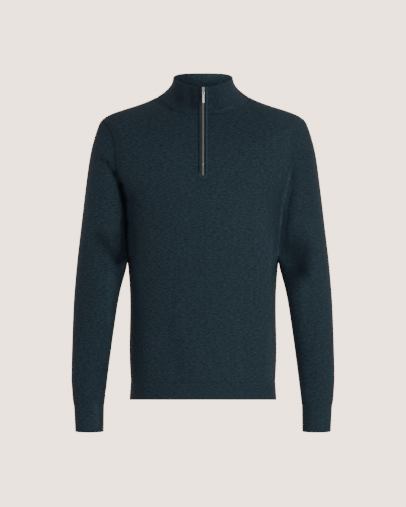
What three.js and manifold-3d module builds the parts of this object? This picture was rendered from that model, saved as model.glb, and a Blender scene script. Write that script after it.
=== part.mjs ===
// A quarter zip sweater, size M, filled out as if worn, with no wearer in it.
// Millimetres, +Z up. The front faces -Y, and the wearer's left side is +X.
// The origin is the middle of the neck at the height where the shoulders carry the garment.
import * as THREE from 'three';
import { mergeVertices } from 'three/addons/utils/BufferGeometryUtils.js';
import Module from 'manifold-3d';

const wasm = await Module();
wasm.setup();

// Cloth
const clothWall = 2.2;
const bandWall = 2.6;
const seamGap = 0.3;

// Grid of the body panels
const halfColumns = 9;
const backHalfColumns = 10;
const curveSamples = 240;

// Zip
const slitHalf = 4.6;
const placketHalf = 9.8;
const slitBottom = -164.5;
const placketLift = 0.3;
const turnSteps = 8;
const placketThick = 1.2;
const tapeDepth = 2.9;
const tapeThick = 0.6;
const tapeInner = 0.6;
const tapeOuter = 9.4;
const tapeAtSlider = 1.7;
const tapeOverrun = 8;
const tapeDrop = 0.5;
const tapePartTop = 15;
const tapePartBottom = 2;
const chainHalf = 2.4;
const chainBehindPost = 2;
const chainDepth = 0.9;
const chainThick = 1.7;
const chainTip = 1.2;
const chainTaper = 5;
const chainTipHalf = 0.5;

// Slider and pull tab. Depths are from the cloth's surface: negative is out of the cloth.
const sliderTop = 33.5;
const sliderLength = 15.5;
const sliderHalf = 4;
const sliderWaist = 3.6;
const sliderFoot = 2.6;
const plateThick = 0.9;
const frontPlateDepth = 0.6;
const rearPlateDepth = 4.7;
const postHalf = 1.2;
const postLength = 8;
const waistLow = 1.2;
const waistHigh = 6;
const shoulderLow = 10;
const shoulderCut = 1.6;
const bridgeHalf = 1.2;
const bridgeWall = 1;
const barRadius = 0.7;
const barSides = 12;
const barClearance = 0.3;
const hingeOut = 1.5;
const joinBite = 0.3;
const tabHalf = 3.8;
const tabLength = 24;
const tabThick = 1.4;
const tabWindowHalf = 1.7;
const tabWindowLength = 3.6;
const tabChamfer = 1.1;

// Collar
const collarHalfWidth = 66;
const collarFront = 58;
const collarBack = 60;
const collarSideTop = 54;
const collarFrontTop = 32.5;
const collarBackTop = 70;
const collarRows = 4;
const collarSideEase = 1.9;
const collarBackEase = 1.3;
const collarFrontDip = 1.9;
const collarBackRise = 0.5;

// Shoulder seam from the neck outwards, with where each row crosses the middle of the body.
// A row's section sweeps round by so many degrees from the middle to its edge, and a larger drop
// keeps it high near the ridge.
const shoulderY = 4;
const shoulderRows = [
  { x: 101, z: 16, sweep: 90, drop: 1, frontY: -75, frontZ: -28, backY: 79, backZ: 9 },
  { x: 124, z: 5, sweep: 81, drop: 1.6, frontY: -80, frontZ: -42, backY: 85, backZ: -4 },
  { x: 150, z: -4.5, sweep: 73, drop: 2.1, frontY: -85, frontZ: -56, backY: 91, backZ: -18 },
  { x: 179, z: -13.5, sweep: 66, drop: 2.3, frontY: -90, frontZ: -70, backY: 97, backZ: -34 },
  { x: 206, z: -23.5, sweep: 62, drop: 2.3, frontY: -95, frontZ: -84, backY: 102.5, backZ: -51 },
  { x: 223, z: -35, sweep: 58, drop: 2.2, frontY: -99.5, frontZ: -98, backY: 107, backZ: -68 },
];

// Armhole from the shoulder point down to the armpit
const armholeTop = -35;
const armholeBottom = -225;
const armholeHalfDepth = 56;
const armholeRows = [
  { angle: 18, sweep: 56, frontX: 217, backX: 220, frontY: -103.5, frontZ: -111, backY: 110.5, backZ: -84 },
  { angle: 36, sweep: 54, frontX: 206, backX: 214.5, frontY: -107, frontZ: -124, backY: 113, backZ: -100 },
  { angle: 54, sweep: 54, frontX: 197.5, backX: 210, frontY: -110, frontZ: -137, backY: 115, backZ: -116 },
  { angle: 72, sweep: 55, frontX: 193, backX: 207.5, frontY: -113, frontZ: -150, backY: 116, backZ: -132 },
  { angle: 90, sweep: 57, frontX: 191, backX: 205, frontY: -116, frontZ: slitBottom, backY: 117, backZ: -148 },
  { angle: 108, sweep: 60, frontX: 187.5, backX: 200, frontY: -118.5, frontZ: -178, backY: 118, backZ: -164 },
  { angle: 126, sweep: 66, frontX: 178.5, backX: 190, frontY: -120.5, frontZ: -191, backY: 118, backZ: -180 },
  { angle: 144, sweep: 74, frontX: 173, backX: 179.5, frontY: -122, frontZ: -204, backY: 118, backZ: -196 },
  { angle: 162, sweep: 83, frontX: 171, backX: 172, frontY: -123, frontZ: -217, backY: 117.5, backZ: -212 },
  { angle: 180, sweep: 90, frontX: 170, backX: 170, frontY: -124, frontZ: -230, backY: 117, backZ: -228 },
];

// Side seam from below the armpit to the top of the hem band
const sideRows = [
  { z: -263, x: 169, frontY: -124, backY: 115.5 },
  { z: -301, x: 167.4, frontY: -122.5, backY: 112 },
  { z: -340, x: 166.1, frontY: -119.5, backY: 107 },
  { z: -378, x: 162.9, frontY: -115.5, backY: 102.5 },
  { z: -416, x: 160.6, frontY: -111.5, backY: 99.5 },
  { z: -454, x: 160.2, frontY: -108.5, backY: 99 },
  { z: -493, x: 160.8, frontY: -107, backY: 101 },
  { z: -531, x: 161.6, frontY: -107.5, backY: 104.5 },
  { z: -569, x: 161, frontY: -109, backY: 107.5 },
  { z: -607, x: 158.9, frontY: -110.5, backY: 109 },
];

const hemRows = [
  { z: -616, x: 159.4, frontY: -111, backY: 109.2 },
  { z: -652, x: 161.6, frontY: -112.5, backY: 110.5 },
];

// How far a row below the armpit sweeps, and how square the sections are
const sideSweep = 90;
const bodySquareness = 0.88;

// Sleeve from the armhole to the top of the cuff: outer edge, inner edge, middle and half depth.
// The slant turns the inner side forward, where it lies beside the body.
const sleeveRows = [
  { outerX: 235, outerZ: -62, innerX: 170.2, innerZ: -231, y: 1, half: 57, slant: 9 },
  { outerX: 244.3, outerZ: -94, innerX: 169.4, innerZ: -240, y: 1, half: 58.5, slant: 17 },
  { outerX: 250.6, outerZ: -128, innerX: 168.5, innerZ: -252, y: 1, half: 59.5, slant: 23 },
  { outerX: 255.4, outerZ: -165, innerX: 167.7, innerZ: -266, y: 1, half: 60, slant: 28 },
  { outerX: 260.4, outerZ: -205, innerX: 166.8, innerZ: -283, y: 1, half: 60, slant: 31 },
  { outerX: 265.3, outerZ: -248, innerX: 165.9, innerZ: -303, y: 0, half: 59, slant: 31 },
  { outerX: 270.6, outerZ: -292, innerX: 165.2, innerZ: -326, y: -1, half: 57.5, slant: 30 },
  { outerX: 275.8, outerZ: -338, innerX: 165.4, innerZ: -352, y: -2, half: 56, slant: 28 },
  { outerX: 280.2, outerZ: -385, innerX: 176.2, innerZ: -392, y: -4, half: 54, slant: 24 },
  { outerX: 283.5, outerZ: -429, innerX: 185, innerZ: -431, y: -7, half: 51.5, slant: 18 },
  { outerX: 285.2, outerZ: -469, innerX: 191.1, innerZ: -469, y: -11, half: 48.5, slant: 12 },
  { outerX: 286.3, outerZ: -508, innerX: 196.8, innerZ: -508, y: -16, half: 45.5, slant: 6 },
  { outerX: 287.2, outerZ: -548, innerX: 202.2, innerZ: -548, y: -21, half: 42, slant: 2 },
  { outerX: 287.7, outerZ: -588, innerX: 207.3, innerZ: -588, y: -26, half: 38.5, slant: 0 },
  { outerX: 286.6, outerZ: -623, innerX: 211.4, innerZ: -623, y: -30, half: 35.5, slant: 0 },
  { outerX: 283.5, outerZ: -656, innerX: 215, innerZ: -656, y: -33, half: 32.5, slant: 0 },
];

const cuffRows = [
  { outerX: 281.6, outerZ: -664, innerX: 216, innerZ: -664, y: -33.5, half: 31.5, slant: 0 },
  { outerX: 278.8, outerZ: -717.5, innerX: 216.6, innerZ: -717.5, y: -36, half: 29.5, slant: 0 },
];

// The armhole's own shape fades out of the sleeve over this many rows
const armholeFade = 6;

// Each sleeve is made in two lengths, which meet at this row, by the elbow
const elbowRow = 8;

// The largest folds: a line on the front or the back, how wide it is and how high
const folds = [
  { side: -1, x: 176, z: -250, toX: 150, toZ: -330, width: 17, height: -3 },
  { side: -1, x: 250, z: -300, toX: 200, toZ: -345, width: 20, height: -4 },
  { side: -1, x: 262, z: -345, toX: 205, toZ: -395, width: 18, height: 3 },
  { side: -1, x: 222, z: -500, toX: 262, toZ: -520, width: 18, height: -2 },
  { side: -1, x: 60, z: -540, toX: 55, toZ: -606, width: 17, height: -3 },
  { side: -1, x: 88, z: -500, toX: 92, toZ: -606, width: 17, height: -3 },
  { side: 1, x: 170, z: -240, toX: 120, toZ: -300, width: 20, height: -4 },
  { side: 1, x: 110, z: -395, toX: 20, toZ: -425, width: 22, height: -4 },
  { side: 1, x: 120, z: -450, toX: 30, toZ: -470, width: 20, height: -3 },
  { side: 1, x: 262, z: -320, toX: 205, toZ: -350, width: 20, height: -4 },
  { side: 1, x: 268, z: -385, toX: 212, toZ: -405, width: 20, height: -4 },
];

// Colours
const clothColour = 0x1b2f3a;
const tapeColour = 0x14212a;
const metalColour = 0xa9abac;

const degree = Math.PI / 180;
const group = new THREE.Group();

function lerp(a, b, t) {
  return a + (b - a) * t;
}

// One half of a body row: from its edge at the seam to the middle of the body.
// The section sweeps round like part of an ellipse, and the height drops with it.
function halfRow({ edge, middle, sweep, drop }) {
  const end = sweep * degree;
  const curve = [];
  for (let k = 0; k <= curveSamples; k += 1) {
    const angle = end * (1 - k / curveSamples);
    const across = (Math.sin(angle) / Math.sin(end)) ** bodySquareness;
    const inwards = ((Math.cos(angle) - Math.cos(end)) / (1 - Math.cos(end))) ** bodySquareness;
    curve.push(new THREE.Vector3(
      edge.x * across,
      lerp(edge.y, middle.y, inwards),
      lerp(edge.z, middle.z, inwards ** drop),
    ));
  }
  return curve;
}

// The points at given distances along a curve
function pointsAt(curve, distances) {
  const lengths = [0];
  for (let k = 1; k < curve.length; k += 1) {
    lengths.push(lengths[k - 1] + curve[k].distanceTo(curve[k - 1]));
  }
  return distances(lengths).map((wanted) => {
    let k = 1;
    while (k < curve.length - 1 && lengths[k] < wanted) k += 1;
    const t = (wanted - lengths[k - 1]) / (lengths[k] - lengths[k - 1]);
    return curve[k - 1].clone().lerp(curve[k], THREE.MathUtils.clamp(t, 0, 1));
  });
}

// The distance along a curve at which it is this far from the middle plane
function distanceToX(curve, lengths, x) {
  let k = 1;
  while (Math.abs(curve[k].x) > x) k += 1;
  const t = (Math.abs(curve[k - 1].x) - x) / (Math.abs(curve[k - 1].x) - Math.abs(curve[k].x));
  return lerp(lengths[k - 1], lengths[k], t);
}

function evenly(from, to, count) {
  return Array.from({ length: count + 1 }, (_, k) => lerp(from, to, k / count));
}

function mirrored(point) {
  return new THREE.Vector3(-point.x, point.y, point.z);
}

// A whole front row, from the wearer's right to the left, with columns on the slit and placket
function frontRow(row) {
  const curve = halfRow(row);
  const right = pointsAt(curve, (lengths) => [
    ...evenly(0, distanceToX(curve, lengths, placketHalf), halfColumns),
    distanceToX(curve, lengths, slitHalf),
  ]);
  return [...right, ...right.map(mirrored).reverse()];
}

// A whole back row, from the wearer's left to the right
function backRow(row) {
  const curve = halfRow(row);
  const right = pointsAt(curve, (lengths) => evenly(0, lengths.at(-1), backHalfColumns));
  return [...right.slice(0, -1), ...right.map(mirrored).reverse()].reverse();
}

function armholePoint(angle, x, side) {
  const turn = angle * degree;
  const middle = (armholeTop + armholeBottom) / 2;
  const half = (armholeTop - armholeBottom) / 2;
  const shift = shoulderY * (1 - angle / 180);
  return new THREE.Vector3(
    -x,
    shift + side * armholeHalfDepth * Math.sin(turn),
    middle + half * Math.cos(turn),
  );
}

// The rows of one body panel, side -1 for the front and 1 for the back
function bodyRows(side) {
  const depth = (row) => (side < 0 ? row.frontY : row.backY);
  const height = (row) => (side < 0 ? row.frontZ : row.backZ);
  const shoulder = shoulderRows.map((row) => ({
    edge: new THREE.Vector3(-row.x, shoulderY, row.z),
    middle: { y: depth(row), z: height(row) },
    sweep: row.sweep,
    drop: row.drop,
  }));
  const armhole = armholeRows.map((row) => ({
    edge: armholePoint(row.angle, side < 0 ? row.frontX : row.backX, side),
    middle: { y: depth(row), z: height(row) },
    sweep: row.sweep,
    drop: lerp(1, shoulderRows.at(-1).drop, Math.max(0, 1 - row.angle / 90)),
  }));
  return [...shoulder, ...armhole, ...sideRows.map((row) => sideRow(row, side))];
}

function sideRow(row, side) {
  return {
    edge: new THREE.Vector3(-row.x, 0, row.z),
    middle: { y: side < 0 ? row.frontY : row.backY, z: row.z },
    sweep: sideSweep,
    drop: 1,
  };
}

// A sheet is a grid of points with its faces, seen from outside as rows down and columns across
function sheetOf(grid, { closed = false, keeps = () => true } = {}) {
  const columns = grid[0].length;
  const faces = [];
  for (let i = 0; i < grid.length - 1; i += 1) {
    for (let j = 0; j < (closed ? columns : columns - 1); j += 1) {
      if (keeps(i, j)) {
        const [upper, lower] = [i * columns, (i + 1) * columns];
        const next = (j + 1) % columns;
        faces.push([upper + j, lower + j, lower + next], [upper + j, lower + next, upper + next]);
      }
    }
  }
  return { points: grid.flat(), faces };
}

// Points that pieces share at a seam share one normal, so their walls meet there
const sharedNormals = new Map();

function keyOf(point) {
  return point.toArray().map((value) => Math.round(value * 100)).join(' ');
}

function shareNormals(sheet) {
  for (const face of sheet.faces) {
    for (let k = 0; k < 3; k += 1) {
      const corner = sheet.points[face[k]];
      const side = sheet.points[face[(k + 1) % 3]].clone().sub(corner);
      const other = sheet.points[face[(k + 2) % 3]].clone().sub(corner);
      const normal = side.clone().cross(other).normalize();
      const key = keyOf(corner);
      if (!sharedNormals.has(key)) sharedNormals.set(key, new THREE.Vector3());
      sharedNormals.get(key).addScaledVector(normal, side.angleTo(other));
    }
  }
}

function normalAt(point) {
  return sharedNormals.get(keyOf(point)).clone().normalize();
}

// The folds move a point out of the cloth or into it
function foldHeight(point, normal) {
  let height = 0;
  for (const fold of folds) {
    const facing = Math.max(0, fold.side * normal.y);
    const start = new THREE.Vector2(fold.x, fold.z);
    const along = new THREE.Vector2(fold.toX, fold.toZ).sub(start);
    const from = new THREE.Vector2(Math.abs(point.x), point.z).sub(start);
    const t = THREE.MathUtils.clamp(from.dot(along) / along.lengthSq(), 0, 1);
    const distance = from.sub(along.multiplyScalar(t)).length();
    height += fold.height * facing * Math.exp(-((distance / fold.width) ** 2));
  }
  return height;
}

// A sheet becomes a closed wall: the outer side, the inner side and a rim round every edge.
// Each edge stands back from the seam by half the gap, and the rims on the two sides of a seam
// are split along the same diagonals.
function wallOf(points, normals, faces, thickness) {
  const count = points.length;
  const edges = new Map();
  for (const face of faces) {
    for (let k = 0; k < 3; k += 1) {
      const [a, b] = [face[k], face[(k + 1) % 3]];
      if (edges.has(`${b} ${a}`)) edges.delete(`${b} ${a}`);
      else edges.set(`${a} ${b}`, [a, b]);
    }
  }
  const inwards = points.map(() => []);
  for (const [a, b] of edges.values()) {
    const along = points[b].clone().sub(points[a]).normalize();
    inwards[a].push(normals[a].clone().cross(along).normalize());
    inwards[b].push(normals[b].clone().cross(along).normalize());
  }
  const outer = points.map((point, k) => {
    if (inwards[k].length < 2) return point.clone();
    const direction = inwards[k][0].clone().add(inwards[k][1]).normalize();
    const cosine = Math.max(0.5, direction.dot(inwards[k][0]));
    return point.clone().addScaledVector(direction, seamGap / 2 / cosine);
  });
  const inner = outer.map((point, k) => point.clone().addScaledVector(normals[k], -thickness));
  const positions = [...outer, ...inner].flatMap((point) => point.toArray());
  const index = [];
  for (const [a, b, c] of faces) {
    index.push(a, b, c, a + count, c + count, b + count);
  }
  for (const [a, b] of edges.values()) {
    if (keyOf(points[a]) < keyOf(points[b])) {
      index.push(b, a, a + count, b, a + count, b + count);
    } else {
      index.push(b, a, b + count, a, a + count, b + count);
    }
  }
  const geometry = new THREE.BufferGeometry();
  geometry.setAttribute('position', new THREE.Float32BufferAttribute(positions, 3));
  geometry.setIndex(index);
  return geometry;
}

function addMesh(name, geometry, { color, roughness, metalness }, parent = group) {
  geometry.computeVertexNormals();
  const material = new THREE.MeshStandardMaterial({ color, roughness, metalness });
  const mesh = new THREE.Mesh(geometry, material);
  mesh.name = name;
  parent.add(mesh);
}

const cloth = { color: clothColour, roughness: 0.92, metalness: 0 };
const tape = { color: tapeColour, roughness: 0.85, metalness: 0 };
const metal = { color: metalColour, roughness: 0.32, metalness: 1 };

// Body panels and hem band
const frontGrid = bodyRows(-1).map(frontRow);
const backGrid = bodyRows(1).map(backRow);
const slitColumn = halfColumns + 1;
const slitRows = shoulderRows.length + armholeRows.findIndex((row) => row.frontZ === slitBottom);
const hemGrid = [
  [...frontGrid.at(-1), ...backGrid.at(-1).slice(1, -1)],
  ...hemRows.map((row) => [
    ...frontRow(sideRow(row, -1)),
    ...backRow(sideRow(row, 1)).slice(1, -1),
  ]),
];

// The collar rises from the neck seam, spreading onto the shoulders at the sides
function collarColumn(foot) {
  const distance = Math.abs(foot.x);
  const reach = shoulderRows[0].x;
  const spread = (collarHalfWidth - placketHalf) / (reach - placketHalf);
  const topX = distance <= placketHalf + 0.01 ? distance : placketHalf + (distance - placketHalf) * spread;
  const inwards = Math.sqrt(Math.max(0, 1 - (topX / collarHalfWidth) ** 2));
  const isFront = foot.y < shoulderY - 0.01;
  const top = new THREE.Vector3(
    Math.sign(foot.x) * topX,
    lerp(shoulderY, isFront ? -collarFront : collarBack, inwards),
    isFront
      ? lerp(collarSideTop, collarFrontTop, inwards ** collarFrontDip)
      : lerp(collarSideTop, collarBackTop, inwards ** collarBackRise),
  );
  const ease = lerp(isFront ? 1 : collarBackEase, collarSideEase, (distance / reach) ** 2);
  return evenly(0, 1, collarRows).map((rise) => {
    const across = 1 - (1 - rise) ** ease;
    return new THREE.Vector3(
      lerp(foot.x, top.x, across),
      lerp(foot.y, top.y, across),
      lerp(foot.z, top.z, rise),
    );
  });
}

const neckLine = [
  ...frontGrid[0].slice(slitColumn + 1),
  ...backGrid[0].slice(1, -1),
  ...frontGrid[0].slice(0, slitColumn + 1),
];
const collarColumns = neckLine.map(collarColumn);
const collarGrid = evenly(0, collarRows, collarRows)
  .map((rise) => collarColumns.map((column) => column[collarRows - rise]));

// Sleeves: each ring runs from its outer edge round the front, the inner edge and the back
function sleeveRing({ outerX, outerZ, innerX, innerZ, y, half, slant }, angle) {
  const turn = angle * degree;
  const inwards = (1 - Math.cos(turn)) / 2;
  return new THREE.Vector3(
    -((outerX + innerX) / 2 + ((outerX - innerX) / 2) * Math.cos(turn)),
    y - half * Math.sin(turn) - slant * inwards ** 2,
    (outerZ + innerZ) / 2 + ((outerZ - innerZ) / 2) * Math.cos(turn),
  );
}

const loop = [
  { angle: 0, point: armholePoint(0, shoulderRows.at(-1).x, -1) },
  ...armholeRows.map((row) => ({ angle: row.angle, point: armholePoint(row.angle, row.frontX, -1) })),
  ...armholeRows.slice(0, -1).reverse()
    .map((row) => ({ angle: 360 - row.angle, point: armholePoint(row.angle, row.backX, 1) })),
];
const armholeRing = {
  outerX: shoulderRows.at(-1).x,
  outerZ: armholeTop,
  innerX: armholeRows.at(-1).frontX,
  innerZ: armholeBottom,
  y: 0,
  half: armholeHalfDepth,
  slant: 0,
};
const sleeveGrid = [
  loop.map(({ point }) => point),
  ...sleeveRows.map((row, k) => {
    const fade = Math.max(0, 1 - (k + 1) / armholeFade) ** 2;
    return loop.map(({ angle, point }) => {
      const own = point.clone().sub(sleeveRing(armholeRing, angle));
      return sleeveRing(row, angle).addScaledVector(own, fade);
    });
  }),
];
const upperSleeve = sleeveGrid.slice(0, elbowRow + 1);
const lowerSleeve = sleeveGrid.slice(elbowRow);
const cuffGrid = [
  sleeveGrid.at(-1),
  ...cuffRows.map((row) => loop.map(({ angle }) => sleeveRing(row, angle))),
];

function otherSide(grid) {
  return grid.map((row) => [row[0], ...row.slice(1).reverse()].map(mirrored));
}

const pieces = [
  {
    name: 'front',
    sheet: sheetOf(frontGrid, { keeps: (i, j) => !(j === slitColumn && i < slitRows) }),
    wall: clothWall,
  },
  { name: 'back', sheet: sheetOf(backGrid), wall: clothWall },
  { name: 'sleeve_right_upper', sheet: sheetOf(upperSleeve, { closed: true }), wall: clothWall },
  { name: 'sleeve_right_lower', sheet: sheetOf(lowerSleeve, { closed: true }), wall: clothWall },
  { name: 'sleeve_left_upper', sheet: sheetOf(otherSide(upperSleeve), { closed: true }), wall: clothWall },
  { name: 'sleeve_left_lower', sheet: sheetOf(otherSide(lowerSleeve), { closed: true }), wall: clothWall },
  { name: 'collar', sheet: sheetOf(collarGrid), wall: bandWall },
  { name: 'hem_band', sheet: sheetOf(hemGrid, { closed: true }), wall: bandWall },
  { name: 'cuff_right', sheet: sheetOf(cuffGrid, { closed: true }), wall: bandWall },
  { name: 'cuff_left', sheet: sheetOf(otherSide(cuffGrid), { closed: true }), wall: bandWall },
];
for (const { sheet } of pieces) shareNormals(sheet);
for (const { name, sheet, wall } of pieces) {
  const normals = sheet.points.map(normalAt);
  const folded = sheet.points.map((point, k) => (
    point.clone().addScaledVector(normals[k], foldHeight(point, normals[k]))
  ));
  addMesh(name, wallOf(folded, normals, sheet.faces, wall), cloth);
}

// The zip follows the middle of the collar and of the front, from the top down
const zipRows = [
  ...collarGrid.slice(0, -1).map((row) => row.slice(-2).concat(row.slice(0, 2))),
  ...frontGrid.map((row) => row.slice(halfColumns, halfColumns + 4)),
];
const zipStations = zipRows.map((row) => ({ row, z: row[1].z, normal: middleNormal(row) }));

function middleNormal(row) {
  const sum = normalAt(row[1]).add(normalAt(row[2]));
  return new THREE.Vector3(0, sum.y, sum.z).normalize();
}

// A point of the cloth's surface near the zip, moved out by a distance
function onZip(x, z, out) {
  let k = 1;
  while (k < zipStations.length - 1 && zipStations[k].z > z) k += 1;
  const [above, below] = [zipStations[k - 1], zipStations[k]];
  const t = (above.z - z) / (above.z - below.z);
  const across = ({ row }) => {
    if (Math.abs(x) <= slitHalf) return row[1].clone().lerp(row[2], (x + slitHalf) / (2 * slitHalf));
    const [from, to] = x < 0 ? [row[1], row[0]] : [row[2], row[3]];
    return from.clone().lerp(to, (Math.abs(x) - slitHalf) / (placketHalf - slitHalf));
  };
  const normal = above.normal.clone().lerp(below.normal, t).normalize();
  return across(above).lerp(across(below), t).addScaledVector(normal, out);
}

// A strip between two lines of places on the cloth, each with x and z
function stripGeometry(places, out, thickness) {
  const grid = places.map((pair) => pair.map(({ x, z }) => onZip(x, z, out)));
  const normals = places.flatMap((pair) => pair.map(({ x, z }) => (
    onZip(x, z, 1).sub(onZip(x, z, 0)).normalize()
  )));
  const { points, faces } = sheetOf(grid);
  return wallOf(points, normals, faces, thickness);
}

function zipHeights(from, to) {
  const between = zipStations.map((station) => station.z).filter((z) => z < from - 1 && z > to + 1);
  return [from, ...between, to];
}

// Placket: two legs along the slit and a round turn below it
const zipTop = zipStations[0].z;
const turnHeight = slitBottom + slitHalf;
const leg = zipHeights(zipTop, turnHeight);
const placketPlaces = [
  ...leg.map((z) => [{ x: -placketHalf, z }, { x: -slitHalf, z }]),
  ...evenly(0, 180, turnSteps).slice(1, -1).map((angle) => {
    const turn = angle * degree;
    return [placketHalf, slitHalf].map((radius) => ({
      x: -radius * Math.cos(turn),
      z: turnHeight - radius * Math.sin(turn),
    }));
  }),
  ...leg.toReversed().map((z) => [{ x: placketHalf, z }, { x: slitHalf, z }]),
];
addMesh('zip_placket', stripGeometry(placketPlaces, placketLift + placketThick, placketThick), cloth);

// Tapes: behind the slit's edges, parted where the slider holds them apart
const tapeBottom = slitBottom - tapeOverrun;
for (const side of [-1, 1]) {
  const heights = [...zipHeights(zipTop - tapeDrop, tapeBottom), tapePartTop, tapePartBottom]
    .sort((a, b) => b - a);
  const places = heights.map((z) => {
    const open = THREE.MathUtils.smoothstep(z, tapePartBottom, tapePartTop);
    const inner = { x: side * lerp(tapeInner, tapeAtSlider, open), z };
    const outer = { x: side * tapeOuter, z };
    return side < 0 ? [outer, inner] : [inner, outer];
  });
  const name = side < 0 ? 'zip_tape_right' : 'zip_tape_left';
  addMesh(name, stripGeometry(places, -tapeDepth, tapeThick), tape);
}

// Chain of teeth, running up between the slider's plates and tapering to the slit's round end
const chainTop = sliderTop - postLength - chainBehindPost;
const chainBottom = slitBottom + chainTip;
const chainPlaces = [
  ...zipHeights(chainTop, chainBottom + chainTaper).map((z) => ({ half: chainHalf, z })),
  { half: chainTipHalf, z: chainBottom },
].map(({ half, z }) => [{ x: -half, z }, { x: half, z }]);
addMesh('zip_chain', stripGeometry(chainPlaces, -chainDepth, chainThick), metal);

function solidOf(geometry) {
  geometry.deleteAttribute('normal');
  geometry.deleteAttribute('uv');
  const merged = mergeVertices(geometry, 1e-4);
  return new wasm.Manifold(new wasm.Mesh({
    numProp: 3,
    vertProperties: merged.attributes.position.array,
    triVerts: new Uint32Array(merged.index.array),
  }));
}

function geometryOf(solid) {
  const mesh = solid.getMesh();
  const geometry = new THREE.BufferGeometry();
  geometry.setAttribute('position', new THREE.BufferAttribute(mesh.vertProperties, 3));
  geometry.setIndex(new THREE.BufferAttribute(mesh.triVerts, 1));
  return geometry;
}

// A box centred in X, between two depths in Y and two heights in Z
function box(half, front, back, low, high) {
  const geometry = new THREE.BoxGeometry(2 * half, back - front, high - low);
  return geometry.translate(0, (front + back) / 2, (low + high) / 2);
}

// A flat plate from an outline in X and Z, between two depths in Y
function plate(outline, back, front) {
  const shape = new THREE.Shape(outline.map(([x, z]) => new THREE.Vector2(x, z)));
  const geometry = new THREE.ExtrudeGeometry(shape, { depth: back - front, bevelEnabled: false });
  return geometry.rotateX(Math.PI / 2).translate(0, back, 0);
}

// Slider and pull tab, in the plane of the cloth at the top of the zip.
// Here +Z runs up along the zip, -Y out of the cloth, and the hinge is at height 0.
const hinge = onZip(0, sliderTop - sliderLength + barRadius + barClearance + bridgeWall, 0);
const topNormal = zipStations[1].normal;
const hardware = new THREE.Group();
hardware.position.copy(hinge);
hardware.rotation.x = -Math.atan2(topNormal.z, -topNormal.y);
group.add(hardware);

const aboveBar = barRadius + barClearance;
const bottom = -(aboveBar + bridgeWall);
const top = bottom + sliderLength;
const faceFront = frontPlateDepth - plateThick;
const rearFront = rearPlateDepth - plateThick;
const hingeY = faceFront - hingeOut;
const bridgeInner = hingeY - aboveBar;
const bridgeOuter = bridgeInner - bridgeWall;
const shieldSide = [
  [sliderFoot, bottom], [sliderWaist, bottom + waistLow], [sliderWaist, bottom + waistHigh],
  [sliderHalf, bottom + shoulderLow], [sliderHalf, top - shoulderCut], [sliderFoot, top],
];
const shield = [...shieldSide, ...shieldSide.toReversed().map(([x, z]) => [-x, z])];
const [postFront, postRear] = [frontPlateDepth - joinBite, rearFront + joinBite];
const slider = solidOf(plate(shield, frontPlateDepth, faceFront))
  .add(solidOf(plate(shield, rearPlateDepth, rearFront)))
  .add(solidOf(box(postHalf, postFront, postRear, top - postLength, top - joinBite)))
  .add(solidOf(box(bridgeHalf, bridgeOuter, faceFront + joinBite, bottom, -aboveBar)))
  .add(solidOf(box(bridgeHalf, bridgeOuter, faceFront + joinBite, aboveBar, aboveBar + bridgeWall)))
  .add(solidOf(box(bridgeHalf, bridgeOuter, bridgeInner, -aboveBar - joinBite, aboveBar + joinBite)));
addMesh('zip_slider', geometryOf(slider), metal, hardware);

const tabTop = tabThick / 2;
const tabOutline = [
  [-tabHalf, -tabLength + tabChamfer], [-tabHalf + tabChamfer, -tabLength],
  [tabHalf - tabChamfer, -tabLength], [tabHalf, -tabLength + tabChamfer],
  [tabHalf, tabTop - tabChamfer], [tabHalf - tabChamfer, tabTop],
  [-tabHalf + tabChamfer, tabTop], [-tabHalf, tabTop - tabChamfer],
];
const tabWindow = box(tabWindowHalf, hingeY - tabThick, hingeY + tabThick, -tabWindowLength, tabThick);
const bar = new THREE.CylinderGeometry(barRadius, barRadius, 2 * (tabWindowHalf + joinBite), barSides);
bar.rotateZ(Math.PI / 2).translate(0, hingeY, 0);
const tab = solidOf(plate(tabOutline, hingeY + tabThick / 2, hingeY - tabThick / 2))
  .subtract(solidOf(tabWindow))
  .add(solidOf(bar));
addMesh('zip_pull_tab', geometryOf(tab), metal, hardware);

export default group;
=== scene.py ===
# %% [markdown]
# # A fine knitted quarter zip sweater
# The sweater hangs as if a body filled it. It is a fine, smooth knit of heathered yarn, with a stand
# collar and a short metal zip in a narrow placket. This lesson dresses its plain solids: it gives the
# cloth a soft surface, seams and creases, and then makes the zip.

# %% Load the solids
import contextlib
import math

import bmesh
import bpy
import numpy as np
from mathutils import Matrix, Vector
from mathutils.kdtree import KDTree


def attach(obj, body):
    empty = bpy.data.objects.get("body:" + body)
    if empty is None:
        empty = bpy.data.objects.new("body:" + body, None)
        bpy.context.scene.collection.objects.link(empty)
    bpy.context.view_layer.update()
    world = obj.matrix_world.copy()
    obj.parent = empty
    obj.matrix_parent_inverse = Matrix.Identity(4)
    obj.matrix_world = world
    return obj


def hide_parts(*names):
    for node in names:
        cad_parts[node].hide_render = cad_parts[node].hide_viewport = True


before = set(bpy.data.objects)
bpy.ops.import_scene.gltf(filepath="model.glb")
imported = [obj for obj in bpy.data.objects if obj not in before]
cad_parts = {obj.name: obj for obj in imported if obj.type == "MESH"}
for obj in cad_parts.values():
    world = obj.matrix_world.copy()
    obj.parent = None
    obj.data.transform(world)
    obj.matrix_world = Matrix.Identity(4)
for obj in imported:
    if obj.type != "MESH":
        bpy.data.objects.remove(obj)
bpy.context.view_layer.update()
MM = 0.001
print("solids:", len(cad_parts))

# %% [markdown]
# The picture is taken from straight in front, level with the middle of the sweater, from far enough
# away that the sleeves and the body keep their true widths. The picture is 507 pixels high, and one
# pixel is 2.2 mm where the seams of the shoulders are.

# %% Camera
PICTURE_HEIGHT = 507
PIXEL = 2.2 * MM
CAMERA_DISTANCE = 4.5
CAMERA_HEIGHT = -0.3289
FILM_HEIGHT = 36


def add_object(name, data):
    """Puts a new object into the scene."""
    obj = bpy.data.objects.new(name, data)
    bpy.context.scene.collection.objects.link(obj)
    return obj


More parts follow.
